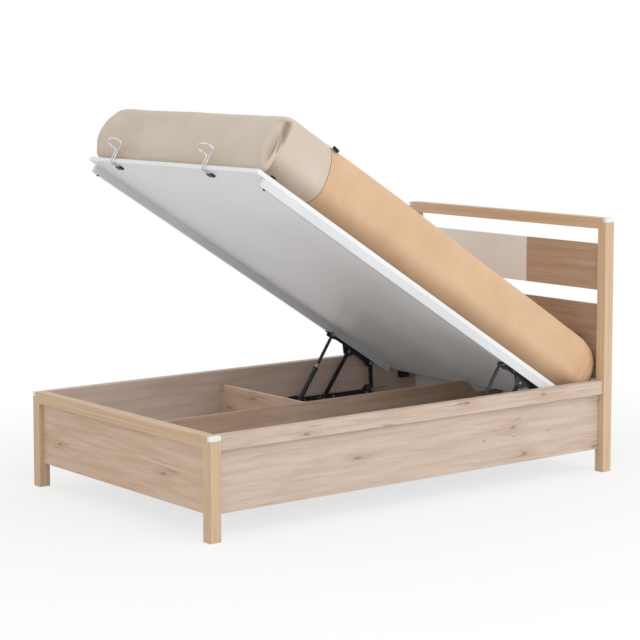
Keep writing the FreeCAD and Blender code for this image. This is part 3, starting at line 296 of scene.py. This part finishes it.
finishes = [
    (tanOakUp, ["foot_post_left", "foot_post_right", "head_post_left", "head_post_right"]),
    (tanOakAcross, ["foot_top_rail", "head_top_rail"]),
    (decorSide, ["side_panel_left", "side_panel_right"]),
    (shadedDecorInner, ["centre_divider"]),
    (decorBand, ["side_band_left", "side_band_right"]),
    (decorFoot, ["foot_panel", "cross_divider"]),
    (shadedDecorHead, ["head_oak_panel"]),
    (shadedDecorHeadLow, ["head_lower_panel"]),
    (creamBoard, ["head_cream_panel"]),
    (whiteBoard, ["head_end_board", "floor_left", "floor_right", "floor_battens", "platform_rail_left",
                  "platform_rail_right"]),
    (brightenedDeckBoard, ["deck_board_foot", "deck_board_head"]),
    (whitePlastic, ["corner_caps"]),
    (blackPlastic, ["rest_blocks", "hoop_clips", "rail_studs"]),
    (blackCoat, ["base_plate_left", "base_plate_right", "front_arm_left", "front_arm_right", "rear_link_left",
                 "rear_link_right", "lift_bracket_left", "lift_bracket_right", "gas_cylinder_left",
                 "gas_cylinder_right", "rod_guard_left", "rod_guard_right"]),
    (plated, ["panel_bolts", "bolt_nuts", "arm_pivot_pins", "link_foot_pins", "strut_foot_pins", "bracket_pins",
              "bracket_screws", "gas_rod_left", "gas_rod_right"]),
    (wireSteel, ["mattress_hoop_left", "mattress_hoop_right"]),
    (dowelBeech, ["side_panel_dowels"]),
]
for material, names in finishes:
    for name in names:
        nodes[name].data.materials.clear()
        nodes[name].data.materials.append(material)
print("frame finished:", sum(len(names) for _, names in finishes), "nodes")


def meshObject(name, mesh):
    piece = bpy.data.objects.new(name, mesh)
    bpy.context.scene.collection.objects.link(piece)
    return piece


def applyModifier(piece, name):
    for other in bpy.context.selected_objects:
        other.select_set(False)
    piece.select_set(True)
    bpy.context.view_layer.objects.active = piece
    bpy.ops.object.modifier_apply(modifier=name)


def easeBetween(value, low, high):
    share = min(1.0, max(0.0, (value - low) / (high - low)))
    return share * share * (3 - 2 * share)


mattress = dict(
    voxel=0.020, shrink=0.003, pressure=3.0, slack=-0.03, frames=20, cap=0.010,
    side=0.597, lift=0.015, farLift=0.006, deckGap=0.0006, room=0.600, highRoom=0.010,
    headReach=0.056, headBoardY=1.0348, closedKeep=0.962, squashFrom=0.27,
    cornerReach=0.040, foldWidth=0.046, foldDepth=0.046, foldLip=0.007, dentDepth=0.024,
    dentShade=0.70, lowShade=0.55, lowRound=0.115, lowTuck=0.042, farSwell=0.024, gatherDepth=0.0075,
    creases=(1.925, 1.952, 1.978), creaseDepth=0.0035)


# the stuffing: the solid's own form, a little smaller, blown up as cloth
def stuffedMattress():
    spec = mattress
    mesh = nodes["mattress"].data.copy()
    mesh.materials.clear()
    mesh.transform(platformPlace.inverted())
    piece = meshObject("mattressCover", mesh)
    form = bmesh.new()
    form.from_mesh(mesh)
    bmesh.ops.remove_doubles(form, verts=form.verts, dist=1e-5)
    form.to_mesh(mesh)
    form.free()
    remesh = piece.modifiers.new("even", "REMESH")
    remesh.mode = "VOXEL"
    remesh.voxel_size = spec["voxel"]
    applyModifier(piece, "even")
    form = bmesh.new()
    form.from_mesh(piece.data)
    bmesh.ops.smooth_vert(form, verts=form.verts, factor=0.5, use_axis_x=True, use_axis_y=True, use_axis_z=True)
    form.normal_update()
    for vert in form.verts:
        vert.co -= vert.normal * spec["shrink"]
    form.to_mesh(piece.data)
    form.free()
    before = [vert.co.copy() for vert in piece.data.vertices]
    cloth = piece.modifiers.new("blow", "CLOTH")
    settings = cloth.settings
    settings.quality = 5
    settings.mass = 0.25
    settings.tension_stiffness = 12
    settings.compression_stiffness = 12
    settings.shear_stiffness = 4
    settings.bending_stiffness = 0.4
    settings.use_pressure = True
    settings.uniform_pressure_force = spec["pressure"]
    settings.shrink_min = spec["slack"]
    settings.effector_weights.gravity = 0.0
    cloth.collision_settings.use_collision = False
    for number in range(1, spec["frames"] + 1):
        bpy.context.scene.frame_set(number)
    applyModifier(piece, "blow")
    bpy.context.scene.frame_set(1)
    for vert, start in zip(piece.data.vertices, before):
        move = vert.co - start
        if move.length > spec["cap"]:
            vert.co = start + move * (spec["cap"] / move.length)
    finer = piece.modifiers.new("finer", "SUBSURF")
    finer.levels = finer.render_levels = 1
    applyModifier(piece, "finer")
    print("mattress stuffed:", len(piece.data.vertices), "points")
    return piece


# seam line of the cover on the sides, bowed as it is sewn
def seamAt(n):
    return 0.300 + 0.300 * n - 1.667 * n * n


# folds and creases of the cover, from the stuffed form, in platform coordinates
def dressPoint(co, normal):
    spec = mattress
    x, s, n = co
    point = co.copy()
    mid = easeBetween(n, 0.005, 0.07) * easeBetween(n, 0.245, 0.16)
    # soft unevenness of stuffing and cloth
    point += normal * 0.0030 * noise.noise(Vector((x * 2.6, s * 2.3, n * 5)))
    if abs(x) > 0.50 or s < 0.10 or s > 1.90:
        slant = Vector((s * 5.0 + n * 9.0, n * 3.0 - s * 1.2, x * 2.0))
        fine = Vector((s * 17.0 + n * 14.0, n * 7.0 - s * 4.0, x * 3.0))
        point += normal * (0.0042 * noise.noise(slant) + 0.0016 * noise.noise(fine)) * mid
    # sides roll under towards the deck
    under = 1 - easeBetween(n, 0.0, spec["lowRound"])
    if s > 0.05:
        point.x -= math.copysign(spec["lowTuck"] * under * under * easeBetween(abs(x), 0.45, 0.60), x)
    # full top, fuller still over the far half of the foot end
    fuller = spec["farLift"] * easeBetween(s, 0.6, 0.1) * easeBetween(x, 0.45, -0.1)
    point.z += (spec["lift"] + fuller) * easeBetween(n, 0.08, 0.22)
    # the head end slumps against the head board
    point.y += spec["headReach"] * easeBetween(s, 1.78, 1.99) * easeBetween(n, 0.0, 0.06)
    for place in spec["creases"]:
        crease = math.exp(-((s - place - 0.10 * (n - 0.12)) / 0.006) ** 2) * easeBetween(abs(x), 0.55, 0.60)
        point += normal * -spec["creaseDepth"] * crease * easeBetween(n, 0.06, 0.10) * easeBetween(n, 0.20, 0.15)
    # the far foot corner swells
    swell = spec["farSwell"] * easeBetween(x, -0.42, -0.58) * easeBetween(s, 0.20, 0.03)
    bulge = math.sin(math.pi * min(1.0, max(0.0, n / 0.25)))
    point += Vector((-0.6, -0.8, -0.2)) * swell * (0.35 + 1.15 * bulge)
    # gathers over the hoop edge and a dimple, far half of the foot face
    if s < 0.06:
        gather = easeBetween(x, -0.18, -0.40) * easeBetween(n, 0.085, 0.02)
        wave = math.sin(x * 235 + 3.0 * noise.noise(Vector((x * 9, n * 14, 0))))
        point.y += spec["gatherDepth"] * gather * wave
        point.y += 0.010 * math.exp(-((x + 0.355) / 0.030) ** 2 - ((n - 0.125) / 0.022) ** 2)
        point.y += 0.009 * math.exp(-((x + 0.33) / 0.070) ** 2 - ((n - 0.045) / 0.020) ** 2)
    return point


# hospital fold at the near foot corner: the side flap's edge stands over the tucked foot face;
# gives the point and how much painted shade darkens its cloth
def foldPoint(co):
    spec = mattress
    x, s, n = co
    point = co.copy()
    shade = 0.0
    rise = min(1.0, max(0.0, (n - 0.006) / 0.236))
    swell = math.sin(math.pi * rise ** 0.8) ** 0.7 if 0 < rise < 1 else 0.0
    reach = spec["cornerReach"]
    over = Vector((x - (spec["side"] - reach), reach - s))
    if over.x > 0 and over.y > 0:
        longest = max(over.x, over.y)
        square = over * (over.length / longest)
        point.x += (square.x - over.x) * swell
        point.y -= (square.y - over.y) * swell
    fromEdge = spec["side"] - point.x
    if s < 0.060 and 0.0 <= fromEdge < 0.10 and swell > 0:
        width = spec["foldWidth"] * swell + 0.004
        tuck = easeBetween(fromEdge, 0.003, 0.006) * max(0.0, 1 - fromEdge / width) ** 1.3
        facing = easeBetween(point.y, 0.034, 0.012)
        lip = spec["foldLip"] * easeBetween(fromEdge, 0.006, 0.002)
        point.y += (spec["foldDepth"] * tuck - lip) * swell * facing
        shade = tuck * swell * facing
    if x > 0.55 and s < 0.10:
        dent = easeBetween(s, 0.010, 0.052) * easeBetween(s, 0.064, 0.053)
        dent *= easeBetween(n, 0.100, 0.190) * easeBetween(n, 0.240, 0.218)
        point.x -= spec["dentDepth"] * dent
        shade = max(shade, spec["dentShade"] * dent)
    # painted shade darkens the cloth a little where it rolls under
    if abs(x) > 0.52 and s > 0.05:
        shade = max(shade, spec["lowShade"] * easeBetween(n, spec["lowRound"], 0.01))
    return point, shade


def subdivideWhere(form, test):
    edges = [edge for edge in form.edges if all(test(vert.co) for vert in edge.verts)]
    bmesh.ops.subdivide_edges(form, edges=edges, cuts=1, use_grid_fill=True, smooth=0.4)


cover = stuffedMattress()
form = bmesh.new()
form.from_mesh(cover.data)
subdivideWhere(form, lambda co: co.y < 0.33 and co.z > 0.004 and (co.y < 0.06 or abs(co.x) > 0.52))
subdivideWhere(form, lambda co: co.y < 0.09 and co.x > 0.50 and co.z > 0.004)
subdivideWhere(form, lambda co: co.y > 1.88 and co.x > 0.52 and co.z > 0.02)
form.normal_update()
places = [dressPoint(vert.co, vert.normal) for vert in form.verts]
shades = []
for vert, place in zip(form.verts, places):
    vert.co, shade = foldPoint(place)
    shades.append(shade)
sag = [vert for vert in form.verts if vert.co.x < 0.50 or vert.co.y > 0.12]
bmesh.ops.smooth_vert(form, verts=sag, factor=0.25, use_axis_x=True, use_axis_y=True, use_axis_z=True)
for vert in form.verts:
    vert.co.z = max(vert.co.z, mattress["deckGap"])
    above = easeBetween(vert.co.z, 0.045, 0.10) * easeBetween(vert.co.y, 1.93, 1.85)
    roomy = mattress["room"] + mattress["highRoom"] * above
    vert.co.x = min(max(vert.co.x, -roomy), roomy)
for face in form.faces:
    face.smooth = True
bmesh.ops.recalc_face_normals(form, faces=form.faces)
form.to_mesh(cover.data)
form.free()
seamDistance = cover.data.attributes.new("seamDistance", "FLOAT", "POINT")
seamDistance.data.foreach_set("value", [vert.co.y - seamAt(vert.co.z) for vert in cover.data.vertices])
foldShade = cover.data.attributes.new("foldShade", "FLOAT", "POINT")
foldShade.data.foreach_set("value", shades)
cover.data.transform(platformPlace)
# the slumped end lies flat against the head board
for vert in cover.data.vertices:
    vert.co.y = min(vert.co.y, mattress["headBoardY"])
cover.data.materials.append(coverMaterial())
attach(cover, "platform")
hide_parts("mattress")
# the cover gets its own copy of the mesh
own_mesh(cover)
print("cover folded:", len(cover.data.polygons), "faces")


# wire hoops at the foot edge: stems from the clip, up past the deck edge, then a leaning round loop
hoop = dict(
    wire=0.003, leanDeg=58, neck=0.040, middles=dict(left=-0.410, right=0.250),
    stem=[(9, 52, -22.5), (9, 20, -22.5), (9, -5, -22.5), (9, -8, -17), (9, -8, 10), (9, -8, 33)],
    loop=[(13, 5), (40, 10), (52, 27), (41, 46), (14, 52)])


def wireHoop(side, middle):
    lean = math.radians(hoop["leanDeg"])
    half = [Vector(point) / 1000 for point in hoop["stem"]]
    half += [Vector((x, -8 - u * math.sin(lean), hoop["neck"] * 1000 + u * math.cos(lean))) / 1000
             for x, u in hoop["loop"]]
    route = half + [Vector((-point.x, point.y, point.z)) for point in reversed(half)]
    curve = bpy.data.curves.new("hoopRoute", "CURVE")
    curve.dimensions = "3D"
    curve.bevel_depth = hoop["wire"]
    curve.bevel_resolution = 3
    curve.resolution_u = 5
    curve.use_fill_caps = True
    spline = curve.splines.new("NURBS")
    spline.points.add(len(route) - 1)
    for point, place in zip(spline.points, route):
        point.co = (*place, 1)
    spline.order_u = 4
    spline.use_endpoint_u = True
    routeObject = bpy.data.objects.new("hoopRoute", curve)
    mesh = bpy.data.meshes.new_from_object(routeObject)
    bpy.data.objects.remove(routeObject)
    mesh.transform(platformPlace @ Matrix.Translation((middle, 0, 0)))
    mesh.materials.clear()
    mesh.materials.append(wireSteel)
    for face in mesh.polygons:
        face.use_smooth = True
    piece = meshObject("wireHoop" + side.capitalize(), mesh)
    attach(piece, "platform")
    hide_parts("mattress_hoop_" + side)


for side, middle in hoop["middles"].items():
    wireHoop(side, middle)
print("hoops bent")


# black tape tabs: one standing at the seam, one peeping out over the deck edge
tape = dict(
    thick=0.0016,
    seam=dict(width=0.031, height=0.011, fold=0.0030), seamPlace=(0.583, 0.274, 0.247), seamLeanDeg=24, seamTipDeg=-6,
    deck=dict(width=0.022, height=0.010, fold=0.0022), deckPlace=(0.5875, 0.067, 0.0062), deckLeanDeg=90)
tapeWeave = coatMaterial("blackTape", (0.014, 0.013, 0.013, 1), (0.034, 0.032, 0.031, 1), 0.85, 0.0, 1400, 0.5)


def tapeLoop(name, width, height, fold):
    form = bmesh.new()
    first = form.verts.new((0, 0, 0))
    second = form.verts.new((0, width, 0))
    edge = form.edges.new((first, second))
    strip = bmesh.ops.extrude_edge_only(form, edges=[edge])["geom"]
    bmesh.ops.translate(form, verts=[g for g in strip if isinstance(g, bmesh.types.BMVert)], vec=(0, 0, height))
    rim = [g for g in strip if isinstance(g, bmesh.types.BMEdge) and all(v.co.z > height / 2 for v in g.verts)]
    turned = bmesh.ops.spin(form, geom=rim, cent=(-fold, 0, height), axis=(0, 1, 0), dvec=(0, 0, 0),
                            angle=-math.pi, steps=6)["geom_last"]
    down = bmesh.ops.extrude_edge_only(form, edges=[g for g in turned if isinstance(g, bmesh.types.BMEdge)])["geom"]
    bmesh.ops.translate(form, verts=[g for g in down if isinstance(g, bmesh.types.BMVert)], vec=(0, 0, -height))
    bmesh.ops.remove_doubles(form, verts=form.verts, dist=1e-6)
    bmesh.ops.recalc_face_normals(form, faces=form.faces)
    bmesh.ops.solidify(form, geom=form.faces, thickness=tape["thick"])
    mesh = bpy.data.meshes.new(name)
    form.to_mesh(mesh)
    form.free()
    for face in mesh.polygons:
        face.use_smooth = True
    mesh.materials.append(tapeWeave)
    return meshObject(name, mesh)


seamTab = tapeLoop("seamTab", **tape["seam"])
seamTab.data.transform(platformPlace @ Matrix.Translation(tape["seamPlace"])
                       @ Matrix.Rotation(math.radians(tape["seamLeanDeg"]), 4, "Y")
                       @ Matrix.Rotation(math.radians(tape["seamTipDeg"]), 4, "X"))
deckTab = tapeLoop("deckTab", **tape["deck"])
deckTab.data.transform(platformPlace @ Matrix.Translation(tape["deckPlace"])
                       @ Matrix.Rotation(math.radians(tape["deckLeanDeg"]), 4, "Y"))
for tab in (seamTab, deckTab):
    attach(tab, "platform")
print("tabs sewn on")


# studio: pale floor, soft light, camera at the photographed angle
studio = dict(floorSize=60.0, keyPower=53, topPower=49, fillPower=12, worldLight=0.71, shadowShare=0.30)


# seen directly, mirrored or through glass: the plain white studio
def backgroundSeen(tree):
    path = tree.nodes.new("ShaderNodeLightPath")
    first = tree.nodes.new("ShaderNodeMath")
    second = tree.nodes.new("ShaderNodeMath")
    first.operation = second.operation = "MAXIMUM"
    tree.links.new(path.outputs["Is Camera Ray"], first.inputs[0])
    tree.links.new(path.outputs["Is Glossy Ray"], first.inputs[1])
    tree.links.new(first.outputs[0], second.inputs[0])
    tree.links.new(path.outputs["Is Transmission Ray"], second.inputs[1])
    return second.outputs[0]


form = bmesh.new()
bmesh.ops.create_grid(form, x_segments=1, y_segments=1, size=studio["floorSize"] / 2)
bmesh.ops.translate(form, verts=form.verts, vec=(0, 0, -0.0005))
floorMesh = bpy.data.meshes.new("studioFloor")
form.to_mesh(floorMesh)
form.free()
floor = meshObject("studioFloor", floorMesh)
floorMaterial, floorShader = newMaterial("paleFloor", 0.9)
floorShader.inputs["Base Color"].default_value = (0.90, 0.90, 0.90, 1)
floorTree = FinishTree(floorMaterial)
# the shadow share fades out away from the bed, so the floor runs into the white
span = floorTree.add("ShaderNodeVectorMath", operation="LENGTH")
floorTree.feed(span.inputs[0], floorTree.mapped((1.0, 0.8, 1.0)))
white = floorTree.ramp(span.outputs["Value"], 0.9, 2.6, 1 - studio["shadowShare"], 1.0)
white = floorTree.math("MULTIPLY", white, backgroundSeen(floorMaterial.node_tree))
glow = floorTree.add("ShaderNodeEmission")
blend = floorTree.add("ShaderNodeMixShader")
floorTree.feed(blend.inputs[0], white)
floorTree.feed(blend.inputs[1], floorShader.outputs[0])
floorTree.feed(blend.inputs[2], glow.outputs[0])
floorTree.feed(floorMaterial.node_tree.nodes["Material Output"].inputs["Surface"], blend.outputs[0])
floor.data.materials.append(floorMaterial)


def areaLight(name, place, target, sizeM, power):
    data = bpy.data.lights.new(name, "AREA")
    data.shape = "SQUARE"
    data.size = sizeM
    data.energy = power
    lamp = bpy.data.objects.new(name, data)
    bpy.context.scene.collection.objects.link(lamp)
    lamp.location = place
    lamp.rotation_euler = (Vector(target) - Vector(place)).to_track_quat("-Z", "Y").to_euler()


areaLight("keyLight", (4.7, 1.9, 2.8), (0, 0.2, 0.6), 3.0, studio["keyPower"])
areaLight("topLight", (3.6, -1.3, 5.0), (0, 0, 0.6), 3.0, studio["topPower"])
areaLight("fillLight", (1.2, -5.6, 1.9), (0, -0.2, 0.7), 3.0, studio["fillPower"])

world = bpy.data.worlds.new("studioWorld")
bpy.context.scene.world = world
world.use_nodes = True
sky = world.node_tree.nodes["Background"]
sky.inputs["Color"].default_value = (1, 1, 1, 1)
bright = world.node_tree.nodes.new("ShaderNodeMapRange")
bright.inputs[3].default_value = studio["worldLight"]
bright.inputs[4].default_value = 1.0
world.node_tree.links.new(backgroundSeen(world.node_tree), bright.inputs[0])
world.node_tree.links.new(bright.outputs[0], sky.inputs["Strength"])

view = dict(place=(6.5411, -5.1640, 1.7894), azimuthDeg=51.925, downDeg=5.691, focalPixels=1969.76, shiftY=-0.1)
cameraData = bpy.data.cameras.new("studioCamera")
cameraData.sensor_width = 36.0
cameraData.lens = view["focalPixels"] * 36.0 / 640
cameraData.shift_y = view["shiftY"]
camera = bpy.data.objects.new("studioCamera", cameraData)
bpy.context.scene.collection.objects.link(camera)
camera.location = view["place"]
camera.rotation_euler = (math.radians(90 - view["downDeg"]), 0, math.radians(view["azimuthDeg"]))
bpy.context.scene.camera = camera
bpy.context.scene.view_settings.view_transform = "Standard"
print("studio set")
